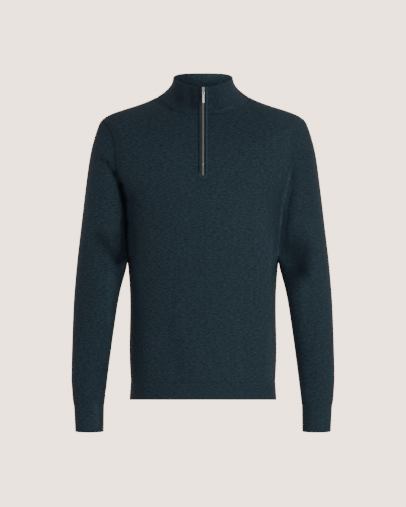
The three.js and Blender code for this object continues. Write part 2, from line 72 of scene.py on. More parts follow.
camera_data = bpy.data.cameras.new("camera")
camera_data.sensor_width = FILM_HEIGHT
camera_data.lens = FILM_HEIGHT * CAMERA_DISTANCE / (PICTURE_HEIGHT * PIXEL)
camera = add_object("camera", camera_data)
camera.location = (0, -CAMERA_DISTANCE, CAMERA_HEIGHT)
camera.rotation_euler = (math.radians(90), 0, 0)
bpy.context.scene.camera = camera
print("lens:", round(camera_data.lens, 1), "mm")

# %% [markdown]
# Blender's operators work on whatever is selected, so a few small helpers select one object alone,
# switch it in and out of edit mode, give it the effect of a modifier, or join several into one.

# %% Helpers for operators


def alone(obj):
    """Selects one object and nothing else."""
    bpy.ops.object.select_all(action="DESELECT")
    obj.select_set(True)
    bpy.context.view_layer.objects.active = obj
    return obj


def edit(obj):
    """Opens one object in edit mode with all of it selected."""
    alone(obj)
    bpy.ops.object.mode_set(mode="EDIT")
    bpy.ops.mesh.select_all(action="SELECT")


def leave_edit():
    bpy.ops.object.mode_set(mode="OBJECT")


def apply(obj, kind, **settings):
    """Adds one modifier to an object and applies it."""
    alone(obj)
    modifier = obj.modifiers.new(kind.lower(), kind)
    for name, value in settings.items():
        setattr(modifier, name, value)
    bpy.ops.object.modifier_apply(modifier=modifier.name)


def join(objects, name):
    """Joins several objects into the first of them."""
    bpy.ops.object.select_all(action="DESELECT")
    for obj in objects:
        obj.select_set(True)
    bpy.context.view_layer.objects.active = objects[0]
    bpy.ops.object.join()
    objects[0].name = name
    return objects[0]


# %% [markdown]
# Others read and move the points of a mesh, open it for changes to its faces, and copy a solid.

# %% Helpers for meshes
TOUCHING = 0.02 * MM


def rows_of(items, field, width):
    """One value of each point, corner or face, as rows of numbers."""
    flat = np.empty(len(items) * width)
    items.foreach_get(field, flat)
    return flat.reshape(-1, width)


def points_of(mesh):
    return rows_of(mesh.vertices, "co", 3)


def normals_of(mesh):
    return rows_of(mesh.vertex_normals, "vector", 3)


def corners_of(mesh):
    """The number of the point at each corner of each face."""
    corners = np.empty(len(mesh.loops), int)
    mesh.loops.foreach_get("vertex_index", corners)
    return corners


def move_points(mesh, points):
    mesh.vertices.foreach_set("co", points.ravel())
    mesh.update()


@contextlib.contextmanager
def shape_of(obj):
    """Opens an object's mesh for changes, and writes them back at the end."""
    shape = bmesh.new()
    shape.from_mesh(obj.data)
    yield shape
    shape.to_mesh(obj.data)
    shape.free()


def copy_of(node, name):
    """A copy of a solid, with its loose triangles merged into one skin."""
    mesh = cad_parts[node].data.copy()
    mesh.materials.clear()
    obj = add_object(name, mesh)
    edit(obj)
    bpy.ops.mesh.remove_doubles(threshold=TOUCHING)
    bpy.ops.mesh.customdata_custom_splitnormals_clear()
    leave_edit()
    return obj


print("helpers for meshes ready")

# %% [markdown]
# ## The cloth
# A real sweater is knitted as flat panels that are linked together, so its surface runs on smoothly
# over each seam. Here too the panels are first joined into one skin. Only the outer wall of each solid
# is needed for that, and the inner wall comes back later as the thickness of the knit. Each sleeve
# comes as two solids, which are one panel of cloth.

# %% Outer walls of the panels
PANELS = ["front", "back", "sleeve_right", "sleeve_left", "collar", "hem_band", "cuff_right", "cuff_left"]
SOLIDS_OF = {
    name: [name + "_upper", name + "_lower"] if "sleeve" in name else [name] for name in PANELS
}
RIM_WIDTH = 3.5 * MM


def regions_of(faces, joins=lambda edge: True):
    """Groups of faces that hang together over the edges that join, largest area first."""
    left = set(faces)
    regions = []
    while left:
        region = {left.pop()}
        queue = list(region)
        while queue:
            edges = [edge for edge in queue.pop().edges if joins(edge)]
            linked = {other for edge in edges for other in edge.link_faces} & left
            left -= linked
            region |= linked
            queue += linked
        regions.append(region)
    return sorted(regions, key=lambda region: -sum(face.calc_area() for face in region))


def keep_outer_wall(obj, panel):
    """Takes away the narrow rim and the inner wall, and numbers the faces that stay."""
    with shape_of(obj) as shape:
        number = shape.faces.layers.int.new("panel")
        wide = [
            face for face in shape.faces
            if min(edge.calc_length() for edge in face.edges) > RIM_WIDTH
        ]
        outer = regions_of(wide)[0]
        for face in outer:
            face[number] = panel
        rest = [face for face in shape.faces if face not in outer]
        bmesh.ops.delete(shape, geom=rest, context="FACES")
    return obj


walls = []
for number, solids in enumerate(SOLIDS_OF.values()):
    walls += [keep_outer_wall(copy_of(name, "wall_" + name), number) for name in solids]
print("walls:", {wall.name: len(wall.data.polygons) for wall in walls})

# %% [markdown]
# Each wall is a grid whose squares were cut into triangles, all along the same diagonal. Four-sided
# faces bend more evenly, so the diagonals are taken out. The one in the squarest cell is plain to see,
# and from there each next triangle's diagonal follows, because it runs parallel to the last one.

# %% Squares from triangles


def slant_of(face):
    """How much the longest edge of a triangle stands out from the next."""
    lengths = sorted(edge.calc_length() for edge in face.edges)
    return lengths[2] / lengths[1]


def next_diagonal(diagonal, edge, other):
    """The diagonal of the triangle across an edge, from that of the triangle before it."""
    if edge is diagonal:
        return edge
    corner = (set(edge.verts) & set(diagonal.verts)).pop()
    return next(side for side in other.edges if side is not edge and corner not in side.verts)


def take_out_diagonals(obj):
    with shape_of(obj) as shape:
        first = max(shape.faces, key=slant_of)
        diagonals = {first: max(first.edges, key=lambda edge: edge.calc_length())}
        queue = [first]
        while queue:
            face = queue.pop()
            for edge in face.edges:
                for other in edge.link_faces:
                    if other not in diagonals:
                        diagonals[other] = next_diagonal(diagonals[face], edge, other)
                        queue.append(other)
        edges = list(dict.fromkeys(diagonals.values()))
        bmesh.ops.dissolve_edges(shape, edges=edges, use_verts=False)


for wall in walls:
    take_out_diagonals(wall)
    odd = [face for face in wall.data.polygons if len(face.vertices) != 4]
    print(wall.name, "faces:", len(wall.data.polygons), "not four-sided:", len(odd))

# %% [markdown]
# The walls meet with a hair's width between them. Joining them and merging the points that nearly
# touch closes these gaps.

# %% One skin from the walls
SEAM_GAP = 0.6 * MM

skin = join(walls, "skin")
edit(skin)
bpy.ops.mesh.remove_doubles(threshold=SEAM_GAP)
leave_edit()
print("faces of the skin:", len(skin.data.polygons))

# %% [markdown]
# The stitches run up the body and along each sleeve. To give the cloth that direction it is laid out
# flat, as its panels were before they were linked. It is cut open along the seams between panels,
# from the armpit down the inside of each sleeve, and at the sides of the hem band.

# %% Where the cloth is cut open


def panels_at(place, number):
    """The panels that meet at a corner or an edge."""
    return {PANELS[face[number]] for face in place.link_faces}


def straight_on(edge, corner):
    """The edges that carry on in a straight line from one edge, to the open end of the cloth."""
    line = []
    while True:
        line.append(edge)
        corner = edge.other_vert(corner)
        if corner.is_boundary or len(corner.link_edges) != 4:
            return line
        beside = set(edge.link_faces)
        edge = next(other for other in corner.link_edges if not set(other.link_faces) & beside)


def mark_seams(obj):
    """Marks the edges where the cloth is cut open, and counts them."""
    with shape_of(obj) as shape:
        number = shape.faces.layers.int["panel"]
        for edge in shape.edges:
            edge.seam = len(panels_at(edge, number)) > 1
        lowest = {}
        for corner in shape.verts:
            met = panels_at(corner, number)
            if {"front", "back"} < met and len(met) == 3 and "collar" not in met:
                key = (frozenset(met), corner.co.x > 0)
                if key not in lowest or corner.co.z < lowest[key].co.z:
                    lowest[key] = corner
        for corner in lowest.values():
            for edge in corner.link_edges:
                inside = panels_at(edge, number)
                if len(inside) == 1 and not inside & {"front", "back"}:
                    for cut in straight_on(edge, corner):
                        cut.seam = True
        return sum(edge.seam for edge in shape.edges)


print("cut edges:", mark_seams(skin))

# %% [markdown]
# The flat layout is scaled so that one unit is one metre of cloth, and each piece is turned until its
# stitches stand upright, which is the way that it rises in space.

# %% Stitch directions
edit(skin)
bpy.ops.uv.unwrap(method="ANGLE_BASED", margin=0.02)
leave_edit()


def islands_of(mesh):
    """The numbers of the faces in each flat piece."""
    shape = bmesh.new()
    shape.from_mesh(mesh)
    regions = regions_of(shape.faces, lambda edge: not edge.seam)
    islands = [sorted(face.index for face in region) for region in regions]
    shape.free()
    return islands


def upright_in_metres(mesh):
    """Scales each flat piece to its true size and turns it so that its stitches stand upright."""
    islands = islands_of(mesh)
    layer = mesh.uv_layers.active.uv
    flat = rows_of(layer, "vector", 2).reshape(-1, 4, 2)
    places = points_of(mesh)[corners_of(mesh).reshape(-1, 4)]
    for k, mine in enumerate(islands):
        drawn = flat[mine]
        real = places[mine]
        drawn_length = np.linalg.norm(drawn - np.roll(drawn, 1, axis=1), axis=2).sum()
        real_length = np.linalg.norm(real - np.roll(real, 1, axis=1), axis=2).sum()
        level = np.c_[drawn.reshape(-1, 2), np.ones(drawn.size // 2)]
        rise = np.linalg.lstsq(level, real[..., 2].ravel(), rcond=None)[0][:2]
        up = complex(*rise) / abs(complex(*rise))
        turned = (drawn[..., 0] + 1j * drawn[..., 1]) * 1j * up.conjugate() * real_length / drawn_length
        flat[mine] = np.stack([turned.real, turned.imag], axis=2)
        print("flat piece", k, "size in mm:", np.round(np.ptp(flat[mine], axis=(0, 1)) / MM))
    layer.foreach_set("vector", flat.ravel())


upright_in_metres(skin.data)

# %% [markdown]
# Two edges are set finely. The hem is cut a little higher in front than behind, so that it looks
# level from the front, and the collar stands a little higher round the nape.

# %% Hem and nape
HEM_TOP = -607 * MM
HEM_BOTTOM = -652 * MM
HEM_RAISED = 1 * MM
HEM_TILT = 0.0714
HEM_HALF_WIDTH = 170 * MM
NECK_BASE = 16 * MM
NAPE_TOP = 70 * MM
NAPE_RAISED = 3.3 * MM
NAPE_FLATNESS = 8
NECK_HALF_WIDTH = 66 * MM
BEHIND_SHOULDERS = 5 * MM


def set_edges(obj):
    places = points_of(obj.data)
    x, y, z = places.T
    down_the_hem = np.clip((HEM_TOP - z) / (HEM_TOP - HEM_BOTTOM), 0, 1)
    on_hem = (z < HEM_TOP) & (np.abs(x) < HEM_HALF_WIDTH)
    hem_lift = down_the_hem * (HEM_RAISED + HEM_TILT * np.maximum(-y, 0))
    up_the_neck = np.clip((z - NECK_BASE) / (NAPE_TOP - NECK_BASE), 0, 1)
    round_nape = 1 - np.clip(np.abs(x) / NECK_HALF_WIDTH, 0, 1) ** NAPE_FLATNESS
    nape_lift = NAPE_RAISED * up_the_neck * round_nape * (y > BEHIND_SHOULDERS)
    places[:, 2] += np.where(on_hem, hem_lift, 0) + nape_lift
    move_points(obj.data, places)
    print("hem raised in mm:", round(hem_lift[on_hem].max() / MM, 1))
    print("nape raised in mm:", round(nape_lift.max() / MM, 1))


set_edges(skin)

# %% [markdown]
# Smoothing the skin with a subdivision surface pulls it inwards wherever it is round. The corners are
# moved out by the same amount first, so that the smooth skin passes through the points of the solids.

# %% A smooth skin
SMOOTH_LEVELS = 3


def smooth_through_points(obj):
    wanted = points_of(obj.data)
    corners = wanted.copy()
    modifier = obj.modifiers.new("smooth", "SUBSURF")
    modifier.levels = SMOOTH_LEVELS
    modifier.render_levels = SMOOTH_LEVELS
    modifier.boundary_smooth = "PRESERVE_CORNERS"
    for _ in range(2):
        shown = obj.evaluated_get(bpy.context.evaluated_depsgraph_get())
        reached = points_of(shown.data)[: len(wanted)]
        corners += wanted - reached
        move_points(obj.data, corners)
    print("largest pull before the last step in mm:", round(np.abs(wanted - reached).max() / MM, 2))
    alone(obj)
    bpy.ops.object.modifier_apply(modifier="smooth")


smooth_through_points(skin)
print("faces of the smooth skin:", len(skin.data.polygons))

# %% [markdown]
# ## Seams, folds and thickness
# Linking two panels leaves a fine groove. It is deep round the collar and the armhole on the wearer's
# right, with a dark painted shade in it, and hardly to be seen at the other seams. So each point of the
# cloth gets its distance to the nearest seam and that seam's own values, which shape the groove here
# and paint shade into it later in the material.

# %% Distance to the seams
SEAMS = {
    # the later one of the two panels: depth of the groove in mm, its width in mm, how dark its painted
    # shade is
    "back": (0.3, 2.2, 0.15),
    "sleeve_right": (0.9, 2.6, 0.9),
    "sleeve_left": (0.3, 2.6, 0.15),
    "collar": (1.0, 3.2, 0.5),
    "hem_band": (0.15, 2.2, 0.1),
    "cuff_right": (0.2, 2.2, 0.15),
    "cuff_left": (0.2, 2.2, 0.15),
}


def panel_numbers(mesh):
    numbers = np.empty(len(mesh.polygons), np.int32)
    mesh.attributes["panel"].data.foreach_get("value", numbers)
    return numbers


def panels_per_point(mesh):
    """The lowest and highest panel number among the faces round each point."""
    corners = corners_of(mesh)
    numbers = np.repeat(panel_numbers(mesh), 4)
    low = np.full(len(mesh.vertices), len(PANELS))
    high = np.full(len(mesh.vertices), -1)
    np.minimum.at(low, corners, numbers)
    np.maximum.at(high, corners, numbers)
    return low, high


def nearest(points, targets):
    """For each point, the distance to the nearest target and the number of that target."""
    tree = KDTree(len(targets))
    for index, target in enumerate(targets):
        tree.insert(target, index)
    tree.balance()
    found = [tree.find(point) for point in points]
    return np.array([each[2] for each in found]), np.array([each[1] for each in found])


places = points_of(skin.data)
lowest_panel, highest_panel = panels_per_point(skin.data)
on_seam = lowest_panel != highest_panel
seam_distance, nearest_seam = nearest(places, places[on_seam])
seam_rows = np.array([SEAMS.get(name, (0, 1, 0)) for name in PANELS])
seam_depth, seam_width, seam_shade = seam_rows[highest_panel[on_seam][nearest_seam]].T
print("points on seams:", int(on_seam.sum()))

# %% [markdown]
# Each sleeve is pressed against the body, on the wearer's left so closely that the furrow between them
# is nearly shut and the edge of the body catches the light. The bottom of each furrow is brought
# forward along a line that follows the armhole and the side, and pushed a little outwards.

# %% The two furrows
FURROW_Z = [-345, -300, -225, -207, -186, -137]
FURROWS = [
    # where the furrow lies at each of these heights, how far it is pushed there, in mm, how far it is shut
    ([166, 167.5, 170, 173, 180, 198], [0, 1.5, 4, 3, 1, 0], 0.9),
    ([-165, -165.7, -167, -171, -179, -198], [0, -2.5, -2.5, -1.5, 0, 0], 0.45),
]
FURROW_WIDTH = 18 * MM
PUSH_WIDTH = 15 * MM
FURROW_FLOOR = -60 * MM
FURROW_FADES = [-358, -330, -180, -140]
BEHIND_FURROW = 12 * MM
IN_FURROW = -14 * MM


def close_furrows(points):
    for furrow_x, pushed, shut in FURROWS:
        x, y, z = points.T
        from_furrow = x - np.interp(z / MM, FURROW_Z, furrow_x) * MM
        in_front = np.clip((BEHIND_FURROW - y) / (BEHIND_FURROW - IN_FURROW), 0, 1)
        share = shut * np.exp(-((from_furrow / FURROW_WIDTH) ** 4)) * in_front
        share *= np.interp(z / MM, FURROW_FADES, [0, 1, 1, 0])
        push = np.interp(z / MM, FURROW_Z, pushed) * MM * np.exp(-((from_furrow / PUSH_WIDTH) ** 2))
        points[:, 1] += share * np.minimum(FURROW_FLOOR - y, 0)
        points[:, 0] += push * in_front
    return points


places = close_furrows(places)
move_points(skin.data, places)
print("furrows closed:", len(FURROWS))

# %% [markdown]
# The cloth hangs almost without folds. The few soft ones start at the armpits, inside the elbows and
# above the hem band, and they are as uneven as on a worn sweater. Each is a row in a table: the line
# that it follows, how wide it is, how far it stands out, and how much painted shade it lays on the
# colour. Those in the first table lie on the front, those in the second on the back, and those in the
# third on both. A trough has a negative height, and a negative share is a painted highlight. Rows with
# no height are only painted shade or painted highlight, as in the armpit creases, at the elbows, on the
# chest and beside the zip. The shares are set against the picture and painted: the material takes them
# off the yarn's colour.

# %% Soft folds and painted shade
# x, z, to x, to z, width, height, all in mm, and the share of painted shade, negative for a painted
# highlight
FRONT_FOLDS = [
    (-222, -122, -207, -132, 4, -1.4, 0.35),
    (-207, -132, -192, -154, 5, -1.8, 0.4),
    (-192, -154, -180, -180, 5, -2.4, 0.36),
    (-179, -180, -173, -210, 6, -2.4, 0.5),
    (-173, -210, -171, -262, 8, 0, 0.3),
    (-171, -262, -173, -340, 9, 0, 0.2),
    (-156, -205, -152, -330, 10, -0.8, 0.22),
    (-158, -340, -154, -600, 6, 0, 0.3),
    (197, -130, 186, -166, 3.2, 1.0, -0.4),
    (186, -166, 177.5, -202, 3.2, 1.2, -0.7),
    (177.5, -202, 168.5, -262, 3.2, 1.2, -0.7),
    (168.5, -262, 163.5, -338, 3.2, 1.2, -0.4),
    (177, -240, 171, -330, 5, 0, 0.3),
    (-224, -294, -186, -344, 12, -3.0, 0.42),
    (-188, -290, -182, -345, 9, 0, 0.36),
    (-182, -350, -180, -392, 10, 0, 0.34),
    (200, -280, 226, -302, 15, -2.0, 0.12),
    (198, -314, 204, -372, 22, -4.0, 0.58),
    (188, -370, 196, -400, 12, 0, 0.2),
    (226, -322, 220, -366, 13, 0, 0.38),
    (246, -350, 222, -396, 14, 1.6, 0),
    (-248, -150, -252, -290, 22, 1.0, -0.12),
    (-196, -380, -206, -470, 9, 0.8, -0.2),
    (210, -390, 222, -520, 12, 0.8, -0.1),
    (-262, -396, -222, -420, 9, -1.0, 0),
    (266, -430, 232, -446, 8, -1.0, 0),
    (-57, -530, -54, -596, 11, -1.3, 0.06),
    (71, -500, 78, -590, 8, 1.5, -0.06),
    (92, -520, 98, -590, 9, -1.3, 0.03),
    (-120, -470, -112, -560, 14, 0.9, 0),
    (-14, -545, -10, -600, 14, 0.8, 0),
    (130, -250, 142, -600, 16, 0.4, -0.12),
    (147, -300, 147, -600, 8, 0.3, -0.3),
    (-150, -400, -146, -600, 11, 0, 0.26),
    (-138, -320, -138, -440, 6, 0.3, -0.12),
    (163, -325, 161, -352, 4, 0, -0.4),
    (-67, -430, -67, -560, 10, -0.4, 0.07),
    (-200, -470, -212, -560, 6, 0.3, -0.2),
    (224, -570, 232, -650, 8, 0, -0.15),
    (-100, -50, 110, -44, 55, 0, 0.16),
    (225, -110, 236, -240, 22, 0, 0.14),
    (-236, -420, -240, -640, 24, 0, 0.07),
    (238, -400, 250, -640, 24, 0, 0.08),
    (-52, 34, -48, 10, 12, 0, 0.25),
    (-24, 26, -20, -6, 12, -1.4, 0.5),
    (-58, 14, -46, -4, 14, -0.8, 0.25),
    (24, 24, 30, -14, 14, 0, 0.2),
    (-92, 5, -67, -16, 2.5, -0.8, 0.4),
    (-67, -16, -43, -22, 2.5, -0.8, 0.1),
    (64, -11, 26, -23, 2.5, 0.3, -0.3),
    (-233, -655, -231, -705, 5, 0.6, -0.35),
]
BACK_FOLDS = [
    (-150, -170, -84, -232, 17, -2.0, 0),
    (144, -160, 92, -226, 19, -1.7, 0),
    (-120, -250, -28, -296, 18, 1.4, 0),
    (118, -262, 40, -300, 16, 1.6, 0),
    (-70, -330, 60, -342, 18, -1.5, 0),
    (-96, -392, 30, -408, 15, 1.6, 0),
    (-20, -446, 104, -436, 17, -1.6, 0),
    (-104, -500, -20, -522, 15, 1.4, 0),
    (20, -540, 116, -522, 14, 1.3, 0),
    (-64, -556, -58, -604, 12, -1.4, 0),
    (58, -566, 64, -606, 11, -1.2, 0),
    (-60, -40, 60, -44, 14, -0.9, 0),
    (-214, -120, -196, -190, 12, -1.4, 0),
    (216, -128, 194, -186, 11, -1.5, 0),
    (-262, -300, -214, -330, 10, -1.9, 0),
    (-266, -340, -216, -362, 10, 1.4, 0),
    (258, -306, 206, -336, 11, -1.7, 0),
    (268, -356, 216, -372, 9, 1.3, 0),
    (262, -392, 224, -412, 10, -1.2, 0),
    (-266, -410, -228, -424, 9, -1.1, 0),
]
ROUND_FOLDS = [
    (-180, -184, -172, -215, 5, 0, 0.5),
    (-172, -215, -170.5, -262, 6, 0, 0.88),
    (-170.5, -262, -172.5, -338, 7, 0, 0.88),
    (-169.5, -222, -169, -250, 10, 0.8, 0),
    (169.5, -222, 169, -250, 10, 0.8, 0),
    (-168, -338, -168, -345, 5, 0.6, 0),
    (167, -338, 167, -345, 5, 0.6, 0),
    (-280, -604, -222, -618, 9, 0.9, 0),
    (-276, -628, -218, -634, 7, -0.8, 0),
    (278, -598, 222, -612, 8, 0.8, 0),
    (276, -632, 220, -636, 7, -0.8, 0),
]
FOLDS = {-1: FRONT_FOLDS, 1: BACK_FOLDS, 0: ROUND_FOLDS}
DARKEST = 0.86
SIDE_SLOPE = 2
SIDE_START = 0.2


def lay_folds(points, normals, folds):
    """How far the folds raise each point, and the painted shade that they lay on it."""
    lift = np.zeros(len(points))
    shade = np.zeros(len(points))
    flat = points[:, [0, 2]]
    for side, (x, z, to_x, to_z, width, height, kept_off) in folds:
        start = np.array([x, z]) * MM
        along = np.array([to_x - x, to_z - z]) * MM
        share = np.clip((flat - start) @ along / (along @ along), 0, 1)
        reach = np.linalg.norm(flat - start - share[:, None] * along, axis=1)
        strength = np.exp(-((reach / (width * MM)) ** 2))
        if side:
            strength = strength * np.clip(side * normals[:, 1] * SIDE_SLOPE + SIDE_START, 0, 1)
        lift += height * MM * strength
        shade += kept_off * strength
    return lift, np.clip(shade, -DARKEST, DARKEST)


normals = normals_of(skin.data)
folds = [(side, fold) for side, rows in FOLDS.items() for fold in rows]
lift, shade = lay_folds(places, normals, folds)
lift -= seam_depth * MM * np.exp(-((seam_distance / (seam_width * MM)) ** 2))
move_points(skin.data, places + normals * lift[:, None])
print("folds:", len(folds), "lift in mm from", round(lift.min() / MM, 2), "to", round(lift.max() / MM, 2))

# %% [markdown]
# Now the skin is taken apart again into its panels, and Solidify gives each its thickness towards the
# inside. The collar, hem and cuffs are knitted double, so they are thicker and their open edges get a
# full round edge, while the edges at the seams are only broken a little.

# %% Panels with thickness
SINGLE = 2.2 * MM
DOUBLE = 2.6 * MM
THICKNESS = [SINGLE] * 4 + [DOUBLE] * 4
ROUND_EDGE = 0.95 * MM
SEAM_EDGE_SHARE = 0.35
RIM_ANGLE = math.radians(50)
SOFT_ANGLE = math.radians(60)
OPEN_EDGE = 0.5 * MM

# These carry the painted shade of the seams and folds to the material.
for name, values in (("seam", seam_distance), ("seam_shade", seam_shade), ("shade", shade)):
    skin.data.attributes.new(name, "FLOAT", "POINT").data.foreach_set("value", values)


def panel_of(number):
    """One panel cut out of the skin, as a new object."""
    name = "knit_" + PANELS[number]
    obj = add_object(name, bpy.data.meshes.new(name))
    shape = bmesh.new()
    shape.from_mesh(skin.data)
    layer = shape.faces.layers.int["panel"]
    rest = [face for face in shape.faces if face[layer] != number]
    bmesh.ops.delete(shape, geom=rest, context="FACES")
    shape.to_mesh(obj.data)
    shape.free()
    return obj


def weigh_rims(obj):
    """Gives the edges of the rim their share of the rounding."""
    with shape_of(obj) as shape:
        weight = shape.edges.layers.float.new("bevel_weight_edge")
        distance = shape.verts.layers.float["seam"]
        for edge in shape.edges:
            if edge.calc_face_angle(0) > RIM_ANGLE:
                from_seam = max(corner[distance] for corner in edge.verts)
                edge[weight] = 1 if from_seam > OPEN_EDGE else SEAM_EDGE_SHARE


cloth = {}
for number, name in enumerate(PANELS):
    panel = panel_of(number)
    apply(panel, "SOLIDIFY", thickness=THICKNESS[number], offset=-1)
    weigh_rims(panel)
    apply(panel, "BEVEL", width=ROUND_EDGE, segments=3, limit_method="WEIGHT")
    alone(panel)
    bpy.ops.object.shade_smooth_by_angle(angle=SOFT_ANGLE)
    cloth[name] = panel
    print(panel.name, "faces:", len(panel.data.polygons))
bpy.data.objects.remove(skin)

# %% [markdown]
# The inside of the collar gets painted light, as if lit from the wall across, more so on the wearer's
# left and lower down, and the front rim gets a painted highlight. Both are a negative shade, since the
# lamps alone show less of this.

# %% Painted light inside the collar
GLOW_X = [-40, 0, 40]
GLOW_ACROSS = [0.05, 1.0, 2.4]
GLOW_BELOW = 1.4
GLOW_REACH = 45 * MM
GLOW_TOP = 55 * MM
RIM_GLOW = 1.2
RIM_LOWEST = 28 * MM
RIM_END = 60 * MM
FACING_UP = 0.6


def paint_light_in_collar(collar):
    x, y, z = points_of(collar.data).T
    out_x, out_y, up = normals_of(collar.data).T
    painted = collar.data.attributes["shade"].data
    values = rows_of(painted, "value", 1)[:, 0]
    # painted light on the inner wall, more on the wearer's left and lower down
    glow = np.interp(x / MM, GLOW_X, GLOW_ACROSS)
    glow += GLOW_BELOW * np.clip((GLOW_TOP - z) / GLOW_REACH, 0, 1)
    values = np.where(x * out_x + y * out_y < 0, -glow, values)
    # a painted highlight on the front rim
    on_rim = (z > RIM_LOWEST) & (y < 0) & (np.abs(x) < RIM_END) & (up > FACING_UP)
    painted.foreach_set("value", np.where(on_rim, -RIM_GLOW, values))
    print("points on the rim:", on_rim.sum())


paint_light_in_collar(cloth["collar"])

# %% [markdown]
# ## The zip
# The zip is the only hard part. Its path down the chest is read from the closed chain of the solids:
# for any distance below the top it gives a place, the way down and the way out of the cloth, and how
# wide the chain is there, because it narrows into the round end of the placket.

# %% Path of the zip
chain = copy_of("zip_chain", "chain")
chain_points = points_of(chain.data)
bpy.data.objects.remove(chain)
one_side = chain_points[chain_points[:, 0] > 0]
one_side = one_side[np.argsort(-one_side[:, 2])].reshape(-1, 2, 3)
in_front = one_side[:, :, 1].argmin(axis=1)
chain_front = one_side[np.arange(len(one_side)), in_front]
chain_back = one_side[np.arange(len(one_side)), 1 - in_front]
steps = np.linalg.norm(np.diff(chain_front[:, 1:], axis=0), axis=1)
below_top = np.r_[0, np.cumsum(steps)]
ZIP_LENGTH = below_top[-1]
CHAIN_DEPTH = np.linalg.norm(chain_back[2] - chain_front[2])


LOOK_AROUND = 4 * MM


def on_chain(distance):
    """Half the width of the chain and the y and z of its front, at a distance below its top."""
    return np.array([np.interp(distance, below_top, column) for column in chain_front.T])


def zip_place(distance):
    """The middle of the chain's front at a distance below its top, the way down, and half its width."""
    half, y, z = on_chain(distance)
    ahead = on_chain(min(distance + LOOK_AROUND, ZIP_LENGTH))
    behind = on_chain(max(distance - LOOK_AROUND, 0))
    return Vector((0, y, z)), Vector((0, *(ahead - behind)[1:])).normalized(), half


print("zip length in mm:", round(ZIP_LENGTH / MM), "chain depth in mm:", round(CHAIN_DEPTH / MM, 2))

# %% [markdown]
# One tooth is modelled as by hand: a bar with soft edges, whose inner end narrows to the head and
# whose face has a shallow dimple from the press.

# %% One tooth
TOOTH_STEP = 2.1 * MM
TOOTH_LENGTH = 2.75 * MM
TOOTH_WIDTH = 0.98 * MM
TOOTH_REACH = 2.2 * MM
TOOTH_EDGE = 0.17 * MM
HEAD_FROM = 0.3 * TOOTH_LENGTH
HEAD_SIZE = (1, 0.9, 0.86)
DIMPLE_RIM = 0.16 * MM
DIMPLE_DEPTH = 0.07 * MM
FACING_FRONT = -0.95
SHARP_ANGLE = math.radians(35)


def faces_where(obj, test):
    """Selects the faces whose middle and normal pass a test, in edit mode."""
    bpy.ops.mesh.select_all(action="DESELECT")
    shape = bmesh.from_edit_mesh(obj.data)
    for face in shape.faces:
        face.select_set(test(face.calc_center_median(), face.normal))
    bmesh.update_edit_mesh(obj.data)


def make_tooth():
    """A tooth whose head points along X, whose front looks along -Y and whose middle is at 0."""
    bpy.ops.object.select_all(action="DESELECT")
    bpy.ops.mesh.primitive_cube_add(size=1)
    tooth = bpy.context.object
    tooth.scale = (TOOTH_LENGTH, CHAIN_DEPTH, TOOTH_WIDTH)
    bpy.ops.object.transform_apply(location=False, rotation=False, scale=True)
    edit(tooth)
    bpy.ops.mesh.bevel(offset=TOOTH_EDGE, segments=2, affect="EDGES")
    faces_where(tooth, lambda middle, normal: middle.x > HEAD_FROM)
    bpy.ops.transform.resize(value=HEAD_SIZE)
    faces_where(tooth, lambda middle, normal: normal.y < FACING_FRONT)
    bpy.ops.mesh.inset(thickness=DIMPLE_RIM, depth=-DIMPLE_DEPTH)
    leave_edit()
    return tooth


tooth = make_tooth()
print("faces of a tooth:", len(tooth.data.polygons))

# %% [markdown]
# The tooth is copied down both sides of the zip, each side half a step from the other, so that the
# heads interlock.

# %% Two rows of teeth


def lay_teeth(tooth):
    """Copies of the tooth down both sides of the chain, joined into one piece."""
    rows = []
    count = int((ZIP_LENGTH - TOOTH_WIDTH) / TOOTH_STEP * 2)
    for index in range(count):
        side = -1 if index % 2 else 1
        middle, down, half = zip_place(TOOTH_WIDTH / 2 + index * TOOTH_STEP / 2)
        axes = np.array([(-side, 0, 0), down.cross(Vector((1, 0, 0))), down])
        size = half / TOOTH_REACH
        copy = add_object("zip_tooth", tooth.data.copy())
        x, y, z = points_of(copy.data).T
        local = np.c_[(x + TOOTH_LENGTH / 2 - TOOTH_REACH) * size, -y - CHAIN_DEPTH / 2, z * side]
        move_points(copy.data, np.array(middle) + local @ axes)
        rows.append(copy)
    teeth = join(rows, "zip_teeth_row")
    edit(teeth)
    bpy.ops.mesh.normals_make_consistent(inside=False)
    leave_edit()
    bpy.ops.object.shade_smooth_by_angle(angle=SHARP_ANGLE)
    return teeth, count


teeth, tooth_count = lay_teeth(tooth)
bpy.data.objects.remove(tooth)
print("teeth:", tooth_count, "faces:", len(teeth.data.polygons))

# %% [markdown]
# The placket is a strip of the same knit, folded and linked round the opening. The tapes are woven and
# lie behind it. The slider and its tab are die-cast and polished. All keep the form of their solids,
# with round edges that catch the light.

# %% Placket, tapes, slider and tab
ROUNDED = [
    # solid, name of the piece, width of the round edge in mm, its steps
    ("zip_placket", "placket_strip", 0.5, 3),
    ("zip_tape_right", "tape_woven_right", 0.12, 1),
    ("zip_tape_left", "tape_woven_left", 0.12, 1),
    ("zip_slider", "slider_body", 0.2, 3),
    ("zip_pull_tab", "pull_tab_body", 0.3, 3),
]
LEVEL_ANGLE = math.radians(3)
ANY_SHAPE = math.radians(100)
ROUND_ANGLE = math.radians(50)


def rounded(node, name, width, segments):
    """A copy of a solid whose sharp edges are rounded."""
    obj = copy_of(node, name)
    edit(obj)
    bpy.ops.mesh.tris_convert_to_quads(face_threshold=LEVEL_ANGLE, shape_threshold=ANY_SHAPE)
    leave_edit()
    apply(obj, "BEVEL", width=width * MM, segments=segments, limit_method="ANGLE", angle_limit=SHARP_ANGLE)
    alone(obj)
    bpy.ops.object.shade_smooth_by_angle(angle=ROUND_ANGLE)
    print(name, "faces:", len(obj.data.polygons))
    return obj


placket, tape_right, tape_left, slider, tab = [rounded(*row) for row in ROUNDED]

# %% [markdown]
# The slider, the tab and the teeth are slimmer than their plain solids, so each is drawn in towards the
# middle and set a little to the side. The tab is slimmer below its eye than round it, with a narrow
# neck between.

